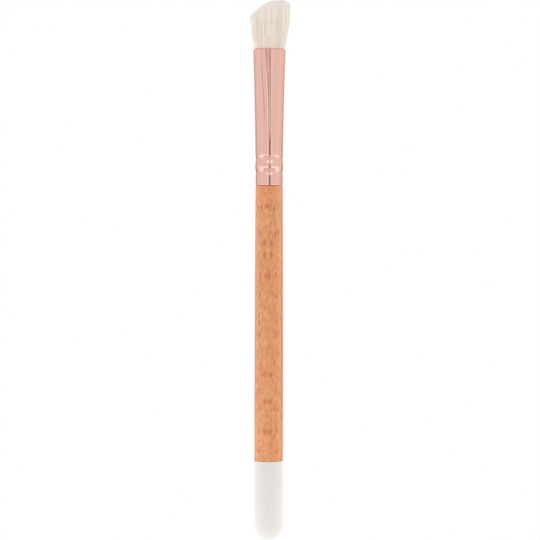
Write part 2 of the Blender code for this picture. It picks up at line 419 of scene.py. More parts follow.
def make_handling() -> bpy.types.NodeTree:
    """Group of faint handling marks: broad soft patches, broken up by finer smudges.

    Returns:
        Group with inputs Vector, Patches (a metre), Base and Spread, and outputs Marks, 0 to 1,
        and Roughness, the base plus the marks times the spread.
    """
    inputs = {"Vector": None, "Patches": 120.0, "Base": 0.3, "Spread": 0.1}
    patch_band = (0.35, 0.7)
    smudge_band = (0.3, 0.7)
    finer = 9.0
    tree, entry, leave = new_group("handling_marks", inputs, ["Marks", "Roughness"])
    place, patches, base, spread = (entry.outputs[name] for name in inputs)
    broad = tree.noise(place, patches, Detail=2.0)
    smudges = tree.noise(place, tree.times(patches, finer), Detail=4.0, Roughness=0.7)
    marks = tree.times(tree.fit(broad, *patch_band), tree.fit(smudges, *smudge_band))
    tree.feed(leave, Marks=marks, Roughness=tree.total(base, tree.times(marks, spread)))
    return tree.tree


@dataclass(frozen=True)
class Effects:
    """Node groups that several finishes share, and ways to place them in a material."""

    fibres: bpy.types.NodeTree
    handling: bpy.types.NodeTree

    def lines(self, tree: Tree, place: Socket, rates: Pair) -> Socket:
        """Place the fine lines along Z.

        Args:
            tree: tree of the material.
            place: coordinates that the lines follow.
            rates: features a metre across and along.

        Returns:
            The lines, 0 to 1.
        """
        node = tree.add("Group", node_tree=self.fibres)
        return tree.feed(node, Vector=place, Across=rates[0], Along=rates[1]).outputs["Lines"]

    def marks(self, tree: Tree, place: Socket, patches: float, rough: Pair) -> Outputs:
        """Place the handling marks.

        Args:
            tree: tree of the material.
            place: coordinates that the marks follow.
            patches: broad patches a metre.
            rough: roughness without marks, and how much they add.

        Returns:
            The outputs Marks and Roughness, found by name.
        """
        node = tree.add("Group", node_tree=self.handling)
        return tree.feed(node, Vector=place, Patches=patches, Base=rough[0], Spread=rough[1]).outputs


class Finish:
    """Start of every finish: a material with a Principled shader and Object coordinates."""

    def start(self, name: str, turn_degrees: float = 0.0, lift: float = 0.0) -> Draft:
        """Make the material and its place socket.

        Args:
            name: name of the material.
            turn_degrees: turn of the pattern about the brush's axis.
            lift: how far up its endless pattern the material is taken from, in metres.

        Returns:
            The material, its tree, its shader node, and Object coordinates as a socket.
        """
        material, tree = new_material(name)
        place = tree.feed(
            tree.add("Mapping"),
            Vector=tree.add("TexCoord").outputs["Object"],
            Location=(0.0, 0.0, lift),
            Rotation=(0.0, 0.0, math.radians(turn_degrees)),
        )
        return material, tree, tree.node("Principled BSDF"), place.outputs[0]

    def relief(self, tree: Tree, height: Socket, depth: float, shader: bpy.types.Node) -> None:
        """Raise the surface by a height pattern, its full swing as deep as the given metres."""
        bump = tree.feed(tree.add("Bump"), Height=height, Distance=depth, Strength=1.0)
        tree.feed(shader, Normal=bump.outputs[0])

    def material(self, effects: Effects) -> bpy.types.Material:
        """Build the finish, which each kind does in its own way."""
        raise NotImplementedError


@dataclass(frozen=True)
class Flecks:
    """Rays and pores of the wood, seen as pointed cores of cells narrow in Y and short in Z.

    rates are the cells a metre along X, Y and Z, none along X for rays that run right through. core
    is where a fleck starts to fade and where it ends, in cells. left_out is the share of the cells
    without a fleck, and depth how dark the flecks are.
    """

    rates: Trio
    core: Pair
    left_out: float
    depth: float
    pick_run: float = 0.3
    bend_rate: float = 700.0
    bend: Trio = (0.0, 0.00012, 0.0006)

    def mask(self, tree: Tree, place: Socket) -> Socket:
        """Build the mask: the place is bent, counted in cells and turned so that a flat pattern fits.

        Args:
            tree: tree of the material.
            place: Object coordinates.

        Returns:
            Socket from 0 to the depth, highest in the middle of a fleck.
        """
        bent = tree.feed(tree.add("TexNoise"), Vector=place, Scale=self.bend_rate, Detail=1.0)
        shift = tree.add("VectorMath", operation="MULTIPLY_ADD")
        tree.fill(shift, bent.outputs["Color"], self.bend, place)
        way = tree.axes(tree.scaled(shift.outputs[0], self.rates))
        turned = tree.feed(tree.add("CombineXYZ"), X=way["Y"], Y=way["Z"], Z=way["X"])
        span = "3D" if self.rates[0] else "2D"
        cells = tree.add("TexVoronoi", distance="MANHATTAN", voronoi_dimensions=span)
        tree.feed(cells, Vector=turned.outputs[0], Scale=1.0)
        heart = tree.fit(cells.outputs["Distance"], *self.core, 1.0, 0.0)
        pick = tree.fill(tree.add("SeparateColor"), cells.outputs["Color"]).outputs[0]
        chosen = tree.fit(pick, self.left_out, self.left_out + self.pick_run)
        return tree.times(tree.times(heart, chosen), self.depth)


@dataclass(frozen=True)
class Beech(Finish):
    """Steamed beech under a satin lacquer: soft rings, fine fibres and short ray flecks.

    The rays run along X, so a fleck that leaves the front on one side of the axis leaves it again on
    the other, and shows as a round spot where the front faces the viewer.
    """

    light: Screen = (236, 171, 118)
    dark: Screen = (198, 126, 74)
    warm: Screen = (226, 138, 90)
    # Painted light: a paler colour for the wood more than about 3 mm out to each side of the axis.
    side: Screen = (240, 160, 113)
    # Painted shade: a darker reddish colour along both edges of the handle.
    painted_flank_shading: Screen = (208, 134, 92)
    spot: Screen = (202, 112, 70)
    fleck: Screen = (156, 88, 52)
    grain_turn: float = 5.0
    grain_lift: float = 0.4058
    ring_rates: Trio = (420.0, 70.0, 10.5)
    ring_band: Pair = (0.3, 0.7)
    ring_share: float = 0.18
    fine_rates: Pair = (3400.0, 700.0)
    fine_share: float = 0.42
    broad_rates: Pair = (1500.0, 520.0)
    broad_share: float = 0.4
    tone_band: Pair = (0.23, 0.77)
    warm_rate: float = 210.0
    warm_band: Pair = (0.45, 0.7)
    warm_share: float = 0.6
    # Where the painted light and the painted shade come in, by distance from the axis along X, and how
    # strongly.
    painted_light_band: Pair = (0.0029, 0.0035)
    painted_light_share: float = 0.3
    painted_shade_band: Pair = (0.0036, 0.004)
    painted_shade_share: float = 0.8
    spot_band: Pair = (0.0008, 0.0016)
    rays: Flecks = Flecks((0.0, 1500.0, 170.0), (0.06, 0.3), 0.2, 0.85)
    pores: Flecks = Flecks((1300.0, 3400.0, 520.0), (0.1, 0.5), 0.45, 0.36)
    patches: float = 140.0
    rough: Pair = (0.4, 0.12)
    fibre_height: float = 0.5
    relief_depth: float = 0.000012

    def material(self, effects: Effects) -> bpy.types.Material:
        """Build the finish.

        Args:
            effects: shared node groups.

        Returns:
            The material.
        """
        material, tree, shader, place = self.start("beech_satin", self.grain_turn, self.grain_lift)
        fine = effects.lines(tree, place, self.fine_rates)
        flecks = tree.math("MAXIMUM", self.rays.mask(tree, place), self.pores.mask(tree, place))
        colour = self.grain(tree, place, fine, effects)
        aside = tree.math("ABSOLUTE", tree.axes(place)["X"])
        # Paint light on the wood out towards each side, and shade along both edges.
        for band, share, tint in (
            (self.painted_light_band, self.painted_light_share, self.side),
            (self.painted_shade_band, self.painted_shade_share, self.painted_flank_shading),
        ):
            colour = tree.mix(tree.fit(aside, *band, 0.0, share), colour, screen(tint))
        stain = tree.mix(tree.fit(aside, *self.spot_band), screen(self.spot), screen(self.fleck))
        colour = tree.mix(flecks, colour, stain)
        marks = effects.marks(tree, place, self.patches, self.rough)
        tree.feed(shader, Base_Color=colour, Roughness=marks["Roughness"])
        tree.feed(shader, Coat_Weight=0.3, Coat_Roughness=0.15, Specular_IOR_Level=0.35)
        height = tree.math("SUBTRACT", tree.times(fine, self.fibre_height), flecks)
        self.relief(tree, height, self.relief_depth, shader)
        return material

    def grain(self, tree: Tree, place: Socket, fine: Socket, effects: Effects) -> Socket:
        """Colour of the wood without flecks: rings and fibres from dark to light, with warm patches.

        The rings are slabs across X, drawn out along the handle and gently wavy.

        Args:
            tree: tree of the material.
            place: Object coordinates.
            fine: the fine fibres.
            effects: shared node groups.

        Returns:
            The colour.
        """
        broad = effects.lines(tree, place, self.broad_rates)
        rings = tree.noise(tree.scaled(place, self.ring_rates), 1.0, Detail=2.5, Distortion=0.4)
        tone = tree.total(
            tree.times(tree.fit(rings, *self.ring_band), self.ring_share),
            tree.times(fine, self.fine_share),
            tree.times(broad, self.broad_share),
        )
        colour = tree.mix(tree.fit(tone, *self.tone_band), screen(self.dark), screen(self.light))
        patches = tree.noise(place, self.warm_rate, Detail=2.0)
        return tree.mix(tree.fit(patches, *self.warm_band, 0.0, self.warm_share), colour, screen(self.warm))


@dataclass(frozen=True)
class RoseGold(Finish):
    """Anodised aluminium tube: a bright satin with faint lines drawn along it."""

    base: Screen = (238, 190, 174)
    deep: Screen = (227, 177, 162)
    drawn_rates: Pair = (1700.0, 22.0)
    drawn_rough: float = 0.02
    patches: float = 160.0
    rough: Pair = (0.05, 0.03)
    relief_depth: float = 0.000001

    def material(self, effects: Effects) -> bpy.types.Material:
        """Build the finish.

        Args:
            effects: shared node groups.

        Returns:
            The material.
        """
        material, tree, shader, place = self.start("rose_gold_satin")
        lines = effects.lines(tree, place, self.drawn_rates)
        marks = effects.marks(tree, place, self.patches, self.rough)
        colour = tree.mix(lines, screen(self.deep), screen(self.base))
        rough = tree.total(marks["Roughness"], tree.times(lines, self.drawn_rough))
        tree.feed(shader, Base_Color=colour, Roughness=rough, Metallic=1.0)
        self.relief(tree, lines, self.relief_depth, shader)
        return material


@dataclass(frozen=True)
class WhiteLacquer(Finish):
    """Dipped white lacquer: a satin coat with a faint orange peel."""

    base: Screen = (222, 217, 213)
    shade: Screen = (216, 211, 207)
    patches: float = 150.0
    rough: Pair = (0.3, 0.12)
    peel_rate: float = 1300.0
    relief_depth: float = 0.000006

    def material(self, effects: Effects) -> bpy.types.Material:
        """Build the finish.

        Args:
            effects: shared node groups.

        Returns:
            The material.
        """
        material, tree, shader, place = self.start("white_dip_satin")
        marks = effects.marks(tree, place, self.patches, self.rough)
        colour = tree.mix(marks["Marks"], screen(self.base), screen(self.shade))
        tree.feed(shader, Base_Color=colour, Roughness=marks["Roughness"])
        tree.feed(shader, Coat_Weight=0.4, Coat_Roughness=0.16)
        self.relief(tree, tree.noise(place, self.peel_rate, Detail=1.5), self.relief_depth, shader)
        return material


@dataclass(frozen=True)
class SoftHair(Finish):
    """Ivory hair: each hair its own tint in streaks, with darker lines of painted shade between locks, and
    paler at the tips.
    """

    dark: Screen = (237, 216, 198)
    light: Screen = (255, 248, 238)
    tip: Screen = (241, 236, 231)
    # Painted shade: the darker colour of the lines between locks of hair.
    line: Screen = (210, 184, 158)
    fibre_rates: Pair = (9000.0, 500.0)
    fibre_swing: float = 0.16
    streak_rates: Pair = (4300.0, 120.0)
    streak_swing: float = 0.75
    # Painted shade: the tone is lowered towards the root, where the ferrule's mouth shades the hair, and
    # raised further up.
    root_shade_band: Pair = (0.05, 0.5)
    root_painted_shade: Pair = (-0.1, 0.14)
    gap_shade_rates: Pair = (6400.0, 80.0)
    gap_shade_band: Pair = (0.64, 0.86)
    gap_shade_share: float = 0.75
    tip_band: Pair = (0.8, 1.0)
    tip_share: float = 0.9
    rough: Pair = (0.62, 0.48)

    def material(self, effects: Effects) -> bpy.types.Material:
        """Build the finish from the hairs' own attributes.

        Args:
            effects: shared node groups.

        Returns:
            The material.
        """
        material, tree, shader, place = self.start("ivory_hair")
        tint = tree.add("Attribute", attribute_name="tint").outputs["Fac"]
        along = tree.add("Attribute", attribute_name="along").outputs["Fac"]
        strand = tree.add("Attribute", attribute_name="strand").outputs["Vector"]
        tone = tree.total(
            tint,
            self.swing(tree, effects.lines(tree, place, self.fibre_rates), self.fibre_swing),
            self.swing(tree, effects.lines(tree, strand, self.streak_rates), self.streak_swing),
            # painted shade towards the root
            tree.fit(along, *self.root_shade_band, *self.root_painted_shade),
        )
        colour = tree.mix(tone, screen(self.dark), screen(self.light))
        # Darker lines between locks, painted shade.
        lines = tree.fit(effects.lines(tree, strand, self.gap_shade_rates), *self.gap_shade_band, 0.0, self.gap_shade_share)
        colour = tree.mix(lines, colour, screen(self.line))
        colour = tree.mix(tree.fit(along, *self.tip_band, 0.0, self.tip_share), colour, screen(self.tip))
        rough = tree.fit(tint, 0.0, 1.0, *self.rough)
        tree.feed(shader, Base_Color=colour, Roughness=rough, Specular_IOR_Level=0.35)
        tree.feed(shader, Sheen_Weight=0.25, Sheen_Roughness=0.5)
        return material

    def swing(self, tree: Tree, lines: Socket, depth: float) -> Socket:
        """Swing about zero by lines from 0 to 1, the lines less a half times the depth."""
        return tree.times(tree.math("SUBTRACT", lines, 0.5), depth)


@dataclass(frozen=True)
class BindingThread(Finish):
    """Cotton thread laid round and round: soft ridges with twisted plies, and painted shade darkening the
    grooves between turns.
    """

    light: Screen = (238, 231, 217)
    # Painted shade: the darker colour in the grooves between turns.
    groove: Screen = (196, 184, 162)
    turns_scale: float = 130.0
    turns_share: float = 0.7
    ply_rates: Pair = (6000.0, 3000.0)
    ply_share: float = 0.3
    patches: float = 300.0
    rough: Pair = (0.75, 0.1)
    relief_depth: float = 0.00006

    def material(self, effects: Effects) -> bpy.types.Material:
        """Build the finish from bands across Z and the shared groups.

        Args:
            effects: shared node groups.

        Returns:
            The material.
        """
        material, tree, shader, place = self.start("binding_thread")
        turns = tree.add("TexWave", wave_type="BANDS", bands_direction="Z", wave_profile="SIN")
        tree.feed(turns, Vector=place, Scale=self.turns_scale, Distortion=0.6, Detail=1.0)
        plies = effects.lines(tree, place, self.ply_rates)
        tone = tree.total(
            tree.times(turns.outputs["Fac"], self.turns_share), tree.times(plies, self.ply_share)
        )
        # Painted shade in the grooves between turns, lighter on the ridges.
        colour = tree.mix(tone, screen(self.groove), screen(self.light))
        marks = effects.marks(tree, place, self.patches, self.rough)
        tree.feed(shader, Base_Color=colour, Roughness=marks["Roughness"])
        self.relief(tree, tone, self.relief_depth, shader)
        return material


@dataclass(frozen=True)
class SetAdhesive(Finish):
    """Set adhesive: cloudy, with small bubbles pressed against its skin."""

    name: str
    base: Screen
    cloud: Screen
    bubbles_rate: float
    rough: Pair
    clarity: float
    clouds_rate: float = 420.0
    clouds_band: Pair = (0.35, 0.7)
    bubble: Pair = (0.05, 0.25)
    patches: float = 260.0
    relief_depth: float = 0.00002

    def material(self, effects: Effects) -> bpy.types.Material:
        """Build the finish from clouds and bubbles.

        Args:
            effects: shared node groups.

        Returns:
            The material.
        """
        material, tree, shader, place = self.start(self.name)
        clouds = tree.noise(place, self.clouds_rate, Detail=3.0)
        colour = tree.mix(tree.fit(clouds, *self.clouds_band), screen(self.base), screen(self.cloud))
        bubbles = tree.feed(tree.add("TexVoronoi"), Vector=place, Scale=self.bubbles_rate)
        marks = effects.marks(tree, place, self.patches, self.rough)
        tree.feed(shader, Base_Color=colour, Roughness=marks["Roughness"])
        tree.feed(shader, Transmission_Weight=self.clarity, IOR=1.5)
        self.relief(tree, tree.fit(bubbles.outputs["Distance"], *self.bubble), self.relief_depth, shader)
        return material


@dataclass
class Piece:
    """How every shown piece joins the frame."""

    effects: Effects

    def join(self, piece: bpy.types.Object, node: str, slot: Slot, look: bpy.types.Material) -> None:
        """Dress a piece, let it ride on the body and stand for its solid.

        Args:
            piece: the finished piece.
            node: the solid that it replaces.
            slot: the record's slot of its finish; not used.
            look: the material it wears.
        """
        piece.data.materials.append(look)
        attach(piece, BODY)
        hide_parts(node)
        LOG.info("%s stands for %s with %d faces", piece.name, node, len(piece.data.polygons))


@dataclass
class Ferrule(Piece):
    """The seamless ferrule: a crimped round foot that flattens to an oval mouth."""

    foot_radius: float = 0.004165
    bead_radius: float = 0.00431
    tube_radius: float = 0.00424
    low_groove_radius: float = 0.00404
    high_groove_radius: float = 0.00409
    runs: tuple[float, ...] = (0.0029, 0.0013, 0.0018, 0.0024, 0.0011)
    mouth_half_width: float = 0.004945
    mouth_half_depth: float = 0.0033
    wall: float = 0.0003
    lip_bevel: float = 0.00026
    foot_roll: float = 0.00045
    foot_turn: float = 0.00004
    flattening_power: float = 1.4
    mouth_exponent: float = 2.2
    fit_gap: float = 0.0001
    mouth_trim: float = 0.00036
    sides: int = 144
    foot_points: int = 6
    crimp_points: int = 90
    tube_points: int = 60
    bore_points: int = 40
    lip_steps: int = 4
    roll_steps: int = 8

    def __post_init__(self) -> None:
        """Take the ferrule's place and length from its solid, the lip trimmed a little."""
        low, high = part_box("ferrule")
        self.base = low.z
        self.length = high.z - low.z - self.mouth_trim
        self.crimp_top = sum(self.runs)

    def crimp_radius(self, height: Array) -> Array:
        """Outer radius in the crimps: each run goes from one named radius to the next.

        A run that opens upwards leaves its groove steeply and ends level, as a square law. A run
        that closes upwards is eased at both ends.

        Args:
            height: heights over the bottom edge.

        Returns:
            The radius at each height.
        """
        stations = np.concatenate(([0.0], np.cumsum(self.runs)))
        radii = np.array(
            (
                self.foot_radius,
                self.foot_radius,
                self.low_groove_radius,
                self.bead_radius,
                self.high_groove_radius,
                self.tube_radius,
            )
        )
        run = np.clip(np.searchsorted(stations, height, "right") - 1, 0, len(self.runs) - 1)
        share = np.clip((height - stations[run]) / np.array(self.runs)[run], 0, 1)
        shape = np.where(radii[run + 1] > radii[run], 1 - (1 - share) ** 2, ease(share))
        return blend(radii[run], radii[run + 1], shape)

    def section(self, height: Array, inset: Array | float) -> tuple[Array, Array, Array]:
        """Section of the tube, which goes from the crimps' circle to the mouth's oval by a power law.

        Args:
            height: heights over the bottom edge.
            inset: how far inside the outer face it is taken.

        Returns:
            Half width, half depth and exponent at each height.
        """
        share = np.clip((height - self.crimp_top) / (self.length - self.crimp_top), 0, 1)
        flat = share**self.flattening_power
        round_radius = self.crimp_radius(height)
        half_width = blend(round_radius, self.mouth_half_width, flat) - inset
        half_depth = blend(round_radius, self.mouth_half_depth, flat) - inset
        return half_width, half_depth, blend(ROUND_EXPONENT, self.mouth_exponent, share)

    def rings(self, height: Array, inset: Array) -> Array:
        """Rings of the section at heights and insets.

        A ring's point at an angle is the half width times the cosine and the half depth times the
        sine, each raised to two over the exponent with its sign kept.

        Args:
            height: heights over the bottom edge.
            inset: how far inside the outer face each ring lies.

        Returns:
            Points as (ring, point, xyz).
        """
        half_width, half_depth, exponent = (part[:, None] for part in self.section(height, inset))
        angle = around(self.sides)
        along = np.sign(np.cos(angle)) * np.abs(np.cos(angle)) ** (2 / exponent)
        across = np.sign(np.sin(angle)) * np.abs(np.sin(angle)) ** (2 / exponent)
        level = np.broadcast_to(self.base + height[:, None], along.shape)
        return np.stack((half_width * along, half_depth * across, level), -1)

    def build(self) -> None:
        """Skin the tube up its outer side, over the bevelled lip, down its bore and round its foot."""
        edge = self.wall / 2
        rim = self.wall - self.lip_bevel
        outer = np.concatenate(
            (
                np.linspace(edge, self.foot_roll, self.foot_points)[:-1],
                np.linspace(self.foot_roll, self.crimp_top, self.crimp_points)[:-1],
                np.linspace(self.crimp_top, self.length - self.lip_bevel, self.tube_points),
            )
        )
        turn = np.clip(1 - outer / self.foot_roll, 0, 1) ** 2 * self.foot_turn
        lip = arc((self.lip_bevel, self.length - rim), (rim, rim), 90, 0, self.lip_steps)
        bore = np.linspace(self.length - rim, edge, self.bore_points)[1:]
        foot = arc((edge, edge), (edge, edge), 0, -180, self.roll_steps)[1:-1]
        height = np.concatenate((outer, lip[:, 1], bore, foot[:, 1]))
        inset = np.concatenate((turn, lip[:, 0], np.full(len(bore), self.wall), foot[:, 0]))
        points = self.rings(height, inset).reshape(-1, 3)
        piece = put_mesh("ferrule_skin", points, grid_quads(len(height), self.sides, True))
        self.join(piece, "ferrule", Slot.ROSE_GOLD, RoseGold().material(self.effects))


@dataclass
class Handle(Piece):
    """The turned beech handle and the white coat dipped over its end."""

    ferrule: Ferrule
    butt_radius: float = 0.0044
    neck_radius: float = 0.004175
    shoulder_round: float = 0.00025
    dome_height: float = 0.0046
    coat_wall: float = 0.0003
    rim_swell: float = 0.00004
    rim_run: float = 0.0012
    rim_trim: float = 0.0002
    glue_room: float = 0.0004
    taper_power: float = 1.5
    sides: int = 128
    dome_steps: int = 20
    rim_points: int = 10
    barrel_points: int = 90
    shoulder_steps: int = 8
    crimp_points: int = 40

    def __post_init__(self) -> None:
        """Take the coat's height, trimmed a little, and the tenon's top from their solids."""
        self.coat_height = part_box("dipped_end")[1].z - self.rim_trim
        self.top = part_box("handle")[1].z

    def dome(self, inset: float) -> Array:
        """Profile of the rounded end from the pole up to its widest ring.

        Args:
            inset: how far inside the coat's outer face it lies.

        Returns:
            Array of (radius, height), a quarter of an ellipse.
        """
        radii = (self.butt_radius - inset, self.dome_height - inset)
        points = arc((0, self.dome_height), radii, -90, 0, self.dome_steps)
        points[0, 0] = 0
        return points

    def coat_profile(self) -> Array:
        """Profile of the coat, a shell with a slightly swollen rim.

        Returns:
            Array of (radius, height) up the outer dome and wall, round the rim and down the inside.
        """
        edge = self.coat_wall / 2
        start = self.coat_height - self.rim_run
        height = np.linspace(start, self.coat_height - edge, self.rim_points)
        swell = ease((height - start) / (height[-1] - start)) * self.rim_swell
        wall = np.stack((self.butt_radius + swell, height), -1)
        middle = self.butt_radius - (self.coat_wall - self.rim_swell) / 2
        half = (self.coat_wall + self.rim_swell) / 2
        rim = arc((middle, self.coat_height - edge), (half, edge), 0, 180, self.rim_points)[1:]
        return np.concatenate((self.dome(0), wall, rim, self.dome(self.coat_wall)[::-1]))

    def barrel_radius(self, height: Array, low: float, high: float) -> Array:
        """Radius of the bare wood, thick at the coat and thinner, ever faster, towards the ferrule."""
        share = (height - low) / (high - low)
        return blend(self.butt_radius, self.neck_radius, share**self.taper_power)

    def wood_profile(self) -> Array:
        """Profile of the wood: the seat under the coat, the barrel, the round shoulder, the tenon.

        Returns:
            Array of (radius, height) from the bottom pole up to the tenon's end.
        """
        gap = self.ferrule.fit_gap
        seat = self.dome(self.coat_wall + gap)
        low = self.coat_height + gap
        shoulder = self.ferrule.base - gap
        height = np.linspace(low, shoulder - self.shoulder_round, self.barrel_points)
        barrel = np.stack((self.barrel_radius(height, low, height[-1]), height), -1)
        centre = (self.neck_radius - self.shoulder_round, height[-1])
        corner = arc(centre, (self.shoulder_round, self.shoulder_round), 0, 90, self.shoulder_steps)[1:]
        inner = self.ferrule.wall + gap
        crimps = np.linspace(0, self.ferrule.crimp_top, self.crimp_points)
        grooved = np.stack((self.ferrule.crimp_radius(crimps) - inner, self.ferrule.base + crimps), -1)
        neck = [(grooved[0, 0], shoulder)]
        glued = grooved[-1, 0] - self.glue_room
        tenon = [(glued, grooved[-1, 1]), (glued, self.top - self.glue_room)]
        end = [(glued - self.glue_room, self.top), (0, self.top)]
        under_coat = [(seat[-1, 0], low)]
        return np.concatenate((seat, under_coat, barrel, corner, neck, grooved, tenon, end))

    def build(self) -> None:
        """Turn the wood and the coat."""
        wood = turn_profile("handle_wood", self.wood_profile(), self.sides)
        self.join(wood, "handle", Slot.BEECH, Beech().material(self.effects))
        coat = turn_profile("dipped_coat", self.coat_profile(), self.sides)
        self.join(coat, "dipped_end", Slot.WHITE_LACQUER, WhiteLacquer().material(self.effects))


@dataclass
class HairTuft(Piece):
    """The tuft: thousands of fine hairs in loose locks, cut at a slant."""

    ferrule: Ferrule
    width: float = 0.01295
    slant_drop: float = 0.0056
    slant_power: float = 1.85
    slant_peak: float = 0.0022
    slant_limit: float = 1.2
    corner_radius: float = 0.0024
    belly_depth: float = 0.0086
    chisel_depth: float = 0.0032
    chisel_drop: float = 0.0014
    spread_power: float = 2.0
    recess: float = 0.0003
    mouth_swell: float = 0.062
    swell_rise: float = 0.0005
    swell_fall: float = 0.0068
    tall_bulge: float = 0.0002
    bulge_start: float = 0.3
    bulge_run: float = 0.6
    tall_swell: float = 0.00042
    tall_swell_fall: float = 0.005
    furthest: Pair = (-0.00603, 0.00628)
    pitch: float = 0.0000515
    root_scatter: float = 0.4
    root_reach: float = 0.97
    hair_width: float = 0.000078
    tip_fullness: float = 0.1
    fullness_power: int = 4
    tip_start: float = 0.984
    tip_scatter: float = 0.00014
    locks: int = 1500
    lock_depth: float = 1.6
    lock_pull: float = 0.04
    lock_drift: float = 0.000035
    lock_limit: float = 1.3
    own_limit: float = 1.5
    own_calm: float = 3.0
    stray_power: float = 1.5
    wave: float = 0.00003
    wave_bends: float = 2.4
    tint: float = 0.62
    lock_tint: float = 0.15
    own_tint: float = 0.14
    # Painted light: hairs rooted far out towards either side get a paler tint, for light shining through the
    # tuft's edges.
    flank_light_start: float = 0.6
    flank_painted_light: float = 0.35
    rings: int = 4
    cut_walks: int = 8
    seed: int = 23

    def __post_init__(self) -> None:
        """Take the hair's reach from its solid and its root from the mouth."""
        self.mouth = self.ferrule.base + self.ferrule.length
        self.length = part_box("hair_tuft")[1].z - self.mouth
        top = np.array([self.ferrule.length - self.recess])
        inset = self.ferrule.wall + self.ferrule.fit_gap
        half_width, half_depth, exponent = self.ferrule.section(top, inset)
        self.root_half_width = float(half_width[0])
        self.root_half_depth = float(half_depth[0])
        self.root_exponent = float(exponent[0])

    def roots(self, chance: np.random.Generator) -> Array:
        """Roots on a close hexagonal net inside the mouth, each moved by part of the net's pitch.

        Args:
            chance: random numbers.

        Returns:
            Array of (x, y), one row a hair.
        """
        rows = np.arange(-self.root_half_depth, self.root_half_depth, self.pitch * math.sqrt(3) / 2)
        columns = np.arange(-self.root_half_width, self.root_half_width, self.pitch)
        x, y = np.meshgrid(columns, rows)
        x = x + (np.arange(len(rows)) % 2)[:, None] * self.pitch / 2
        moved = chance.uniform(-self.root_scatter, self.root_scatter, (x.size, 2)) * self.pitch
        points = np.stack((x.ravel(), y.ravel()), -1) + moved
        reach = np.abs(points / (self.root_half_width, self.root_half_depth)) ** self.root_exponent
        return points[reach.sum(1) < self.root_reach]

    def spread(self, height: Array) -> Array:
        """Width of the tuft, which opens fast at the mouth, then slowly, as a power law.

        The hair also swells over the lip, eased in over a short rise and out again over a longer one.

        Args:
            height: heights over the mouth.

        Returns:
            The width at each height as a share of the root's.
        """
        rise = 1 - (1 - np.clip(height / self.length, 0, 1)) ** self.spread_power
        swell_in = ease(np.clip(height / self.swell_rise, 0, 1))
        swell_out = ease(np.clip(1 - height / self.swell_fall, 0, 1))
        opened = 1 + (self.width / 2 / self.root_half_width - 1) * rise
        return opened + self.mouth_swell * (swell_in * swell_out)

    def thickness(self, height: Array) -> Array:
        """Depth of the tuft: a curve drawn out to the belly and in again to the chisel edge.

        Args:
            height: heights over the mouth.

        Returns:
            The depth at each height as a share of the root's.
        """
        share = np.clip(height / self.length, 0, 1)
        root = 2 * self.root_half_depth
        belly = blend(root, self.belly_depth, share)
        edge = blend(self.belly_depth, self.chisel_depth, share)
        return blend(belly, edge, share) / root

    def tall_side(self, x: Array, height: Array) -> Array:
        """How much further out the tall side stands: a sine bulge above and a short swell at the lip.

        Args:
            x: place of each hair's root.
            height: heights over the mouth.

        Returns:
            The way out in X, by more the further the root is to the tall side.
        """
        share = np.clip((height / self.length - self.bulge_start) / self.bulge_run, 0, 1)
        rise = ease(np.clip(height / self.swell_rise, 0, 1))
        fall = ease(np.clip(1 - height / self.tall_swell_fall, 0, 1))
        reach = np.clip(x / self.root_half_width, 0, 1)
        return reach**2 * (self.tall_bulge * np.sin(np.pi * share) + self.tall_swell * rise * fall)

    def cut_height(self, x: Array) -> Array:
        """Height of the cut: a slow power law down to -X and a round corner at +X.

        Args:
            x: places across the tuft.

        Returns:
            The height over the mouth at each place.
        """
        half = self.width / 2
        slope = np.clip((self.slant_peak - x) / (self.slant_peak + half), 0, self.slant_limit)
        corner = np.clip((x - half + self.corner_radius) / self.corner_radius, 0, 1)
        round_off = self.corner_radius * (1 - np.sqrt(1 - corner**2))
        return self.length - self.slant_drop * slope**self.slant_power - round_off

    def lengths(self, roots: Array, scatter: Array) -> Array:
        """Height at which each hair meets the cut, found by walking it up and down a few times.

        Args:
            roots: root of each hair, as (x, y).
            scatter: how much shorter each hair is than the cut.

        Returns:
            The height of each tip over the mouth.
        """
        drop = self.chisel_drop * (roots[:, 1] / self.root_half_depth) ** 2 + scatter
        height = np.full(len(roots), self.length)
        for _ in range(self.cut_walks):
            height = self.cut_height(roots[:, 0] * self.spread(height)) - drop
        return height

    def paths(self, roots: Array, chance: np.random.Generator) -> tuple[Array, Array, Array]:
        """Centre line, share along and tint of every hair.

        A hair's place at a height is its root times the tuft's spread and thickness. Hairs are
        gathered in locks: each is drawn part of the way to its lock's own hair.

        Args:
            roots: root of each hair, as (x, y).
            chance: random numbers.

        Returns:
            Points as (hair, ring, xyz), the last ring the tip, shares along as (hair, ring), and a
            tint from 0 to 1 for each hair.
        """
        heads = roots[chance.choice(len(roots), self.locks, replace=False)]
        scale = np.array((self.root_half_width, self.root_half_depth * self.lock_depth))
        lock = np.argmin((((roots[:, None] - heads[None]) / scale) ** 2).sum(-1), 1)
        length = self.lengths(roots, chance.uniform(0, self.tip_scatter, len(roots)))
        share = np.append(np.linspace(0, self.tip_start, self.rings), 1.0)
        height = length[:, None] * share - self.recess * (1 - share)
        grow = np.stack((self.spread(height), self.thickness(height)), -1)
        pull = (self.lock_pull * share**self.stray_power)[None, :, None]
        place = blend(roots[:, None], heads[lock][:, None], pull) * grow
        place[..., 0] += self.tall_side(roots[:, :1], height)
        place = self.stray(place, lock, share, height, chance)
        place[..., 0] = np.clip(place[..., 0], *self.furthest)
        points = np.concatenate((place, (self.mouth + height)[..., None]), -1)
        return points, np.broadcast_to(share, height.shape), self.tints(roots, lock, chance)

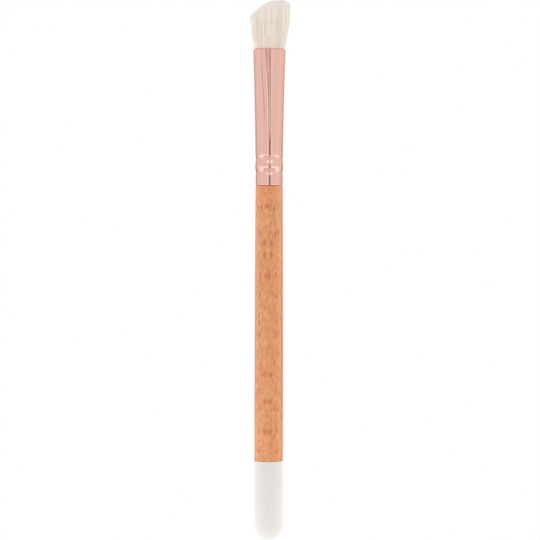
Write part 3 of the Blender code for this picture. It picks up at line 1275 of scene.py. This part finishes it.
    def stray(
        self,
        place: Array,
        lock: Array,
        share: Array,
        height: Array,
        chance: np.random.Generator,
    ) -> Array:
        """Let each lock drift and wave as one, and each hair drift a little on its own.

        A lock drifts by more towards the tip, as a power law. The waves are sines of the height.

        Args:
            place: x and y of every ring, as (hair, ring, xy).
            lock: number of each hair's lock.
            share: share of each ring along its hair.
            height: height of every ring, as (hair, ring).
            chance: random numbers.

        Returns:
            The moved x and y.
        """
        lean = np.clip(chance.normal(0, 1, (self.locks, 2)), -self.lock_limit, self.lock_limit)
        drift = lean[lock][:, None] * self.lock_drift
        phase = chance.uniform(0, 2 * np.pi, (self.locks, 2))[lock][:, None]
        own = np.clip(chance.normal(0, 1, (len(place), 1, 2)), -self.own_limit, self.own_limit)
        own = own * self.lock_drift / self.own_calm
        sway = np.sin(height[..., None] / self.length * self.wave_bends * np.pi + phase) - np.sin(phase)
        ramp = share[None, :, None]
        return place + drift * ramp**self.stray_power + own * ramp + sway * self.wave * ramp

    def tints(self, roots: Array, lock: Array, chance: np.random.Generator) -> Array:
        """Tint of each hair: its lock's and its own, with painted light making it paler towards the tuft's
        two flanks.

        Args:
            roots: root of each hair, as (x, y).
            lock: number of each hair's lock.
            chance: random numbers.

        Returns:
            A tint from 0 to 1 for each hair.
        """
        aside = np.abs(roots[:, 0]) / self.root_half_width
        # Painted light: the tint rises towards both sides of the tuft.
        painted_flank_shading = np.clip((aside - self.flank_light_start) / (1 - self.flank_light_start), 0, 1) * self.flank_painted_light
        by_lock = chance.normal(0, self.lock_tint, self.locks)[lock]
        return np.clip(self.tint + painted_flank_shading + by_lock + chance.normal(0, self.own_tint, len(roots)), 0, 1)

    def build(self) -> None:
        """Grow the hairs and skin them in four quarters, front and back of the low and the tall side."""
        chance = np.random.default_rng(self.seed)
        roots = self.roots(chance)
        points, share, tint = self.paths(roots, chance)
        look = SoftHair().material(self.effects)
        front = roots[:, 1] < 0
        low = roots[:, 0] < 0
        quarters = {
            "tuft_front_low_hairs": front & low,
            "tuft_front_tall_hairs": front & ~low,
            "tuft_back_low_hairs": ~front & low,
            "tuft_back_tall_hairs": ~front & ~low,
        }
        for name, part in quarters.items():
            piece = self.skin(name, points[part], share[part], chance)
            self.mark(piece, share[part], tint[part], roots[part], points[part])
            self.join(piece, "hair_tuft", Slot.HAIR, look)

    def skin(
        self,
        name: str,
        points: Array,
        share: Array,
        chance: np.random.Generator,
    ) -> bpy.types.Object:
        """Give every path three sides that narrow to a point, all in one mesh.

        Each side's point is the path's plus half the hair's width times cosine and sine of its turn.
        The hair is a little fuller towards the tip, by a power of its share along.

        Args:
            name: name of the piece.
            points: the paths, as (hair, ring, xyz).
            share: the share of each ring along its hair.
            chance: random numbers for the turn of each hair.

        Returns:
            The piece.
        """
        count = len(points)
        turn = chance.uniform(0, 2 * np.pi, (count, 1, 1)) + around(HAIR_SIDES)
        width = self.hair_width / 2 * (1 + self.tip_fullness * share[:, :-1, None] ** self.fullness_power)
        aside = np.cos(turn) * width
        ring = np.stack((aside, np.sin(turn) * width, np.zeros_like(aside)), -1)
        body = (points[:, :-1, None] + ring).reshape(count, -1, 3)
        flat = np.concatenate((body, points[:, -1:]), 1)
        last = (self.rings - 1) * HAIR_SIDES
        tip = last + HAIR_SIDES
        corner = np.arange(HAIR_SIDES)
        cap = np.stack((last + corner, last + (corner + 1) % HAIR_SIDES, np.full(HAIR_SIDES, tip)), -1)
        caps = np.concatenate((cap, corner[None, ::-1]))
        step = (np.arange(count) * flat.shape[1])[:, None, None]
        quads = (grid_quads(self.rings, HAIR_SIDES, False)[None] + step).reshape(-1, 4)
        triangles = (caps[None] + step).reshape(-1, 3)
        LOG.info("%s has %d hairs", name, count)
        return put_mesh(name, flat.reshape(-1, 3), quads, triangles, smooth=False)

    def mark(self, piece: bpy.types.Object, share: Array, tint: Array, roots: Array, points: Array) -> None:
        """Store what the finish reads at every point: along, tint and strand.

        along is the share along the hair, and strand is the hair's root with the point's height,
        so that a pattern read from it runs up the hair.

        Args:
            piece: the piece, its points stored hair by hair, the tip last.
            share: the share of each ring along its hair.
            tint: tint of each hair.
            roots: root of each hair, as (x, y).
            points: the paths, as (hair, ring, xyz).
        """
        along = self.by_point(share[..., None])
        count = along.shape[1]
        root = np.repeat(roots[:, None], count, 1)
        strand = np.concatenate((root, self.by_point(points[..., 2:])), -1)
        rows = (
            ("along", "FLOAT", "value", along),
            ("tint", "FLOAT", "value", np.repeat(tint, count)),
            ("strand", "FLOAT_VECTOR", "vector", strand),
        )
        for name, kind, key, values in rows:
            layer = piece.data.attributes.new(name, kind, "POINT")
            layer.data.foreach_set(key, values.astype(np.float32).ravel())

    def by_point(self, values: Array) -> Array:
        """Repeat each ring's values for the sides of the hair, and leave the tip's as they are."""
        return np.concatenate((np.repeat(values[:, :-1], HAIR_SIDES, 1), values[:, -1:]), 1)


@dataclass
class InnerPieces(Piece):
    """The pieces inside the ferrule, which keep their solids."""

    resin: Finish = SetAdhesive("amber_resin", (205, 158, 92), (226, 188, 124), 1500.0, (0.16, 0.1), 0.6)
    glue: Finish = SetAdhesive("wood_glue", (224, 206, 160), (236, 224, 190), 2400.0, (0.42, 0.1), 0.0)

    def build(self) -> None:
        """Dress the binding, the resin and the glue."""
        finishes = {"root_binding": BindingThread(), "resin_plug": self.resin, "tenon_glue": self.glue}
        for node, finish in finishes.items():
            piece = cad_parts[node]
            piece.data.materials.clear()
            piece.data.materials.append(finish.material(self.effects))
            LOG.info("%s keeps its solid", node)


@dataclass
class PhotoCamera:
    """Level camera on the brush's front, at the height of its middle, filled by its length."""

    distance: float = 0.65
    picture_height: float = 0.16506
    aside: float = 0.0003
    roll: float = -0.0955
    sensor: float = 36.0

    def build(self) -> None:
        """Put the camera in the scene."""
        data = bpy.data.cameras.new("photo_camera")
        data.sensor_width = self.sensor
        data.lens = self.sensor * self.distance / self.picture_height
        camera = bpy.data.objects.new("photo_camera", data)
        camera.location = (self.aside, -self.distance, self.picture_height / 2)
        camera.rotation_euler = (math.pi / 2, math.radians(self.roll), 0)
        bpy.context.scene.collection.objects.link(camera)
        bpy.context.scene.camera = camera


@dataclass
class SoftLight:
    """White to the camera, to gloss and to glass. The light itself is strongest from the sides."""

    side_light: float = 2.05
    front_loss: float = 1.7
    back_loss: float = 0.9
    top_gain: float = 0.25
    top_start: float = 0.2
    left_gain: float = 0.17

    def build(self) -> None:
        """Make the world, its strength the side light less losses that grow along each direction."""
        world = bpy.data.worlds.new("white_studio")
        world.use_nodes = True
        bpy.context.scene.world = world
        tree = Tree(world.node_tree)
        shown = tree.feed(tree.node("Background"), Color=(1, 1, 1, 1))
        way = tree.axes(tree.add("TexCoord").outputs["Generated"])
        front = tree.fit(way["Y"], -1.0, 0.0, self.front_loss, 0.0)
        back = tree.fit(way["Y"], 0.0, 1.0, 0.0, self.back_loss)
        top = tree.fit(way["Z"], self.top_start, 1.0, 0.0, -self.top_gain)
        left = tree.fit(way["X"], -1.0, 0.0, -self.left_gain, 0.0)
        loss = tree.total(tree.total(front, back), tree.total(top, left))
        light = tree.feed(tree.add("Background"), Strength=tree.math("SUBTRACT", self.side_light, loss))
        path = tree.add("LightPath").outputs
        seen = tree.math("MAXIMUM", path["Is Camera Ray"], path["Is Glossy Ray"])
        seen = tree.math("MAXIMUM", seen, path["Is Transmission Ray"])
        mix = tree.fill(tree.add("MixShader"), seen, light.outputs[0], shown.outputs[0])
        tree.fill(tree.node("World Output"), mix.outputs[0])


@dataclass
class Floor:
    """Pale round floor that keeps the brush's shadow and runs out to plain white.

    The camera sees it plain white, apart from close round the brush, where half of it is the pale
    surface itself. Soft light comes off it a little stronger near the brush. In front of the brush,
    gloss sees a lit table instead.
    """

    sides: int = 96
    radii: tuple[float, ...] = (0.02, 0.05, 0.12, 0.3, 0.8, 2.4)
    colour: Screen = (251, 251, 250)
    white_band: Pair = (0.004, 0.03)
    white_least: float = 0.5
    near_band: Pair = (0.02, 0.15)
    near_glow: float = 1.4
    front_band: Pair = (-0.02, 0.0)
    table_level: float = 0.88
    table_glow: float = 1.45
    table_slope: float = 0.6
    table_side: Pair = (0.13, 0.21)
    table_end: Pair = (0.53, 0.83)
    gap_middle: float = 0.09
    gap_band: Pair = (0.13, 0.19)
    gap_level: float = 0.4

    def disc(self) -> bpy.types.Object:
        """Skin the floor: rings of points round one in the middle, facing up.

        Returns:
            The floor.
        """
        angle = around(self.sides)
        radii = np.array(self.radii)[:, None]
        level = np.zeros((len(radii), self.sides))
        rings = np.stack((radii * np.cos(angle), radii * np.sin(angle), level), -1)
        points = np.concatenate((rings.reshape(-1, 3), np.zeros((1, 3))))
        column = np.arange(self.sides)
        centre = np.full(self.sides, len(points) - 1)
        middle = np.stack((column, (column + 1) % self.sides, centre), -1)
        return put_mesh("floor", points, grid_quads(len(radii), self.sides, False)[:, ::-1], middle)

    def table(self, tree: Tree, way: Outputs, away: Socket) -> Socket:
        """How bright gloss sees the floor in front of the brush.

        It is bright past the table's far end and off to both sides, apart from a darker gap near the
        middle, where X over Y is close to one value.

        Args:
            tree: tree of the material.
            way: X and Y of the place on the floor, found by name.
            away: its distance from the brush.

        Returns:
            The brightness.
        """
        across = tree.math("ABSOLUTE", way["X"])
        ahead = tree.math("ABSOLUTE", way["Y"])
        outside = tree.math("SUBTRACT", across, tree.times(ahead, self.table_slope))
        side = tree.fit(outside, *self.table_side)
        far = tree.fit(away, *self.table_end)
        slant = tree.math("DIVIDE", way["X"], way["Y"])
        gap = tree.math("ABSOLUTE", tree.total(slant, self.gap_middle))
        level = tree.fit(gap, *self.gap_band, self.gap_level, self.table_glow)
        return tree.fit(tree.math("MAXIMUM", side, far), 0.0, 1.0, self.table_level, level)

    def build(self) -> None:
        floor = self.disc()
        material, tree = new_material("pale_floor")
        shader = tree.node("Principled BSDF")
        tree.feed(shader, Base_Color=screen(self.colour), Roughness=0.9, Specular_IOR_Level=0.0)
        place = tree.add("TexCoord").outputs["Object"]
        way = tree.axes(place)
        away = tree.fill(tree.add("VectorMath", operation="LENGTH"), place).outputs["Value"]
        path = tree.add("LightPath").outputs
        in_front = tree.fit(way["Y"], *self.front_band, 1.0, 0.0)
        glossy = tree.times(in_front, path["Is Glossy Ray"])
        near = tree.fit(away, *self.near_band, self.near_glow, 1.0)
        soft = tree.fit(path["Is Diffuse Ray"], 0.0, 1.0, 1.0, near)
        strength = tree.fit(glossy, 0.0, 1.0, soft, self.table(tree, way, away))
        glow = tree.feed(tree.add("Emission"), Color=(1, 1, 1, 1), Strength=strength)
        white = tree.fit(away, *self.white_band, self.white_least, 1.0)
        white = tree.math("MAXIMUM", white, path["Is Diffuse Ray"])
        mix = tree.fill(tree.add("MixShader"), white, shader.outputs[0], glow.outputs[0])
        tree.fill(tree.node("Material Output"), mix.outputs[0])
        floor.data.materials.append(material)


@dataclass(frozen=True)
class Glow:
    """Light of a card: how bright it is at two heights, fading in between, and its linear colour."""

    low: float
    high: float
    heights: Pair = (0.0, 1.0)
    colour: Trio = (1.0, 0.97, 0.94)


@dataclass(frozen=True)
class Strip:
    """Upright strip: x and z of the middle of its lower and its upper end, half its width, its light."""

    name: str
    low: Pair
    high: Pair
    half: float
    light: float

    def corners(self, depth: float) -> Array:
        """Place the strip.

        Args:
            depth: its place along Y.

        Returns:
            Its four corners, round from the lower left.
        """
        return np.array(
            (
                (self.low[0] - self.half, depth, self.low[1]),
                (self.low[0] + self.half, depth, self.low[1]),
                (self.high[0] + self.half, depth, self.high[1]),
                (self.high[0] - self.half, depth, self.high[1]),
            )
        )


@dataclass
class Cards:
    """Cards round the brush that are seen in gloss alone, as lines, edges and glints in the metal.

    The slot is the dark gap between the lights, which metal shows as a line down the middle. It is
    dark low down. Higher up only its two borders are, round a middle that is a little grey, and at
    the top the borders stand further apart. A bright edge stands behind each side of it, and a thin
    pole to the left. The glints are two bright lamps high in front, which show in the crimps.
    """

    slot: tuple[Strip, ...] = (
        Strip("left_edge_low", (-0.15, 0.1), (-0.12, 0.243), 0.05, 1.15),
        Strip("left_edge_high", (-0.14, 0.243), (-0.26, 0.292), 0.05, 1.1),
        Strip("right_edge", (0.28, 0.1), (0.13, 0.292), 0.05, 1.12),
        Strip("slot_foot", (0.062, 0.002), (0.062, 0.2), 0.09, 0.3),
        Strip("slot_middle", (0.045, 0.2), (0.03, 0.243), 0.05, 1.2),
        Strip("slot_left_low", (-0.03, 0.2), (-0.02, 0.243), 0.022, 0.3),
        Strip("slot_right_low", (0.125, 0.2), (0.078, 0.243), 0.024, 0.3),
        Strip("slot_upper", (0.015, 0.243), (-0.01, 0.268), 0.08, 0.84),
        Strip("slot_left_upper", (-0.05, 0.243), (-0.09, 0.268), 0.022, 0.4),
        Strip("slot_right_upper", (0.078, 0.243), (0.05, 0.268), 0.022, 0.4),
        Strip("slot_top", (-0.05, 0.268), (-0.05, 0.292), 0.09, 1.2),
        Strip("slot_left_top", (-0.15, 0.268), (-0.18, 0.292), 0.03, 0.25),
        Strip("slot_right_top", (0.028, 0.268), (0.02, 0.292), 0.024, 0.4),
        Strip("slot_knot_low", (-0.03, 0.2695), (-0.03, 0.2725), 0.05, 0.45),
        Strip("slot_knot_high", (-0.07, 0.2765), (-0.07, 0.2825), 0.08, 0.45),
        Strip("left_pole", (-0.43, 0.225), (-0.6, 0.275), 0.05, 0.7),
    )
    glints: tuple[Strip, ...] = (
        Strip("left_lamp", (-0.195, 0.356), (-0.195, 0.398), 0.067, 2.6),
        Strip("right_lamp", (0.29, 0.356), (0.29, 0.398), 0.067, 2.6),
    )
    strip_depth: float = -0.75
    strip_step: float = 0.002
    flag_turns: Pair = (122, 168)
    flag_radius: float = 0.6
    flag_heights: Pair = (0.0, 0.21)
    flag_glow: Glow = Glow(0.5, 0.7, (0.09, 0.11))
    wing_turns: Pair = (95, 122)
    wing_radius: float = 0.62
    wing_heights: Pair = (0.11, 0.5)
    wing_glow: Glow = Glow(0.98, 0.98, colour=(1.0, 0.92, 0.89))
    front_glow: Glow = Glow(1.0, 1.0, colour=(0.93, 0.98, 1.02))
    front_depth: float = -0.78
    front_across: Pair = (-0.85, 0.95)
    front_heights: Pair = (0.108, 0.5)
    top_glow: Glow = Glow(0.5, 0.5, (0.7, 0.9))
    top_height: float = 0.8
    top_across: Pair = (-0.6, 0.6)
    top_ahead: Pair = (-0.9, 0.5)

    def card(self, name: str, corners: Array, light: Glow) -> None:
        """Args:
            name: name of the card.
            corners: its four corners, round from the lower left.
            light: its light.
        """
        card = put_mesh(name, corners, np.array([(0, 1, 2, 3)]))
        material, tree = new_material(name)
        way = tree.axes(tree.add("TexCoord").outputs["Object"])
        strength = tree.fit(way["Z"], *light.heights, light.low, light.high)
        glow = tree.feed(tree.add("Emission"), Color=(*light.colour, 1.0), Strength=strength)
        tree.fill(tree.node("Material Output"), glow.outputs[0])
        card.data.materials.append(material)
        card.visible_camera = False
        card.visible_diffuse = False
        card.visible_shadow = False

    def strips(self, strips: tuple[Strip, ...]) -> None:
        """Put upright strips before the brush, each a little nearer to it than the last.

        Args:
            strips: the strips, those that cover others after them.
        """
        for number, strip in enumerate(strips):
            depth = self.strip_depth + number * self.strip_step
            self.card(strip.name, strip.corners(depth), Glow(strip.light, strip.light))

    def pair(self, name: str, turns: Pair, radius: float, heights: Pair, light: Glow) -> None:
        """Put one card at each side of the brush, the left one the mirror image of the right one.

        A corner's x is the radius times the sine of its angle and its y the radius times the cosine,
        turned about so that 0 degrees points to the front.

        Args:
            name: name of the pair, which left and right are put before.
            turns: where the cards start and end, in degrees from the front.
            radius: their distance from the brush's axis.
            heights: their lower and upper edge.
            light: their light.
        """
        angle = np.radians(turns)
        low, high = heights
        for hand, side in (("left", -1), ("right", 1)):
            x, y = (radius * side * np.sin(angle), -radius * np.cos(angle))
            corners = np.array(((x[0], y[0], low), (x[1], y[1], low), (x[1], y[1], high), (x[0], y[0], high)))
            self.card(f"{hand}_{name}", corners, light)

    def build(self) -> None:
        """Put up the slot, grey flags behind, pale wings, a cool front, a grey top and the glints."""
        self.strips(self.slot)
        self.pair("flag", self.flag_turns, self.flag_radius, self.flag_heights, self.flag_glow)
        self.pair("wing", self.wing_turns, self.wing_radius, self.wing_heights, self.wing_glow)
        (left, right), (low, high), y = self.front_across, self.front_heights, self.front_depth
        front = np.array(((left, y, low), (right, y, low), (right, y, high), (left, y, high)))
        self.card("cool_front", front, self.front_glow)
        (left, right), (near, far), z = self.top_across, self.top_ahead, self.top_height
        over = np.array(((left, near, z), (right, near, z), (right, far, z), (left, far, z)))
        self.card("top_flag", over, self.top_glow)
        self.strips(self.glints)


@dataclass
class HairLamps:
    """Two small soft lamps close in front of the tuft, one towards each side, for its pale hair.

    places holds the name, x, y and power of each.
    """

    places: tuple[tuple[str, float, float, float], ...] = (
        ("left_hair_lamp", -0.036, -0.034, 0.0031),
        ("right_hair_lamp", 0.041, -0.028, 0.0019),
    )
    height: float = 0.178
    size: float = 0.03
    tilt: float = 68.0

    def build(self) -> None:
        """Hang the lamps, turned to the tuft, where neither the camera nor gloss sees them."""
        for name, x, y, power in self.places:
            data = bpy.data.lights.new(name, "AREA")
            data.size = self.size
            data.energy = power
            lamp = bpy.data.objects.new(name, data)
            lamp.location = (x, y, self.height)
            lamp.rotation_euler = (0, math.radians(self.tilt), math.atan2(y, x))
            lamp.visible_camera = False
            lamp.visible_glossy = False
            bpy.context.scene.collection.objects.link(lamp)


def main() -> None:
    """Build the brush from the ferrule out, then the studio round it."""
    logging.basicConfig(level=logging.INFO, format="%(name)s: %(message)s")
    effects = Effects(make_fibres(), make_handling())
    ferrule = Ferrule(effects)
    ferrule.build()
    for piece in (Handle(effects, ferrule), HairTuft(effects, ferrule), InnerPieces(effects)):
        piece.build()
    for part in (PhotoCamera(), SoftLight(), Floor(), Cards(), HairLamps()):
        part.build()
    bpy.context.scene.view_settings.view_transform = "Standard"


if __name__ == "__main__":
    main()
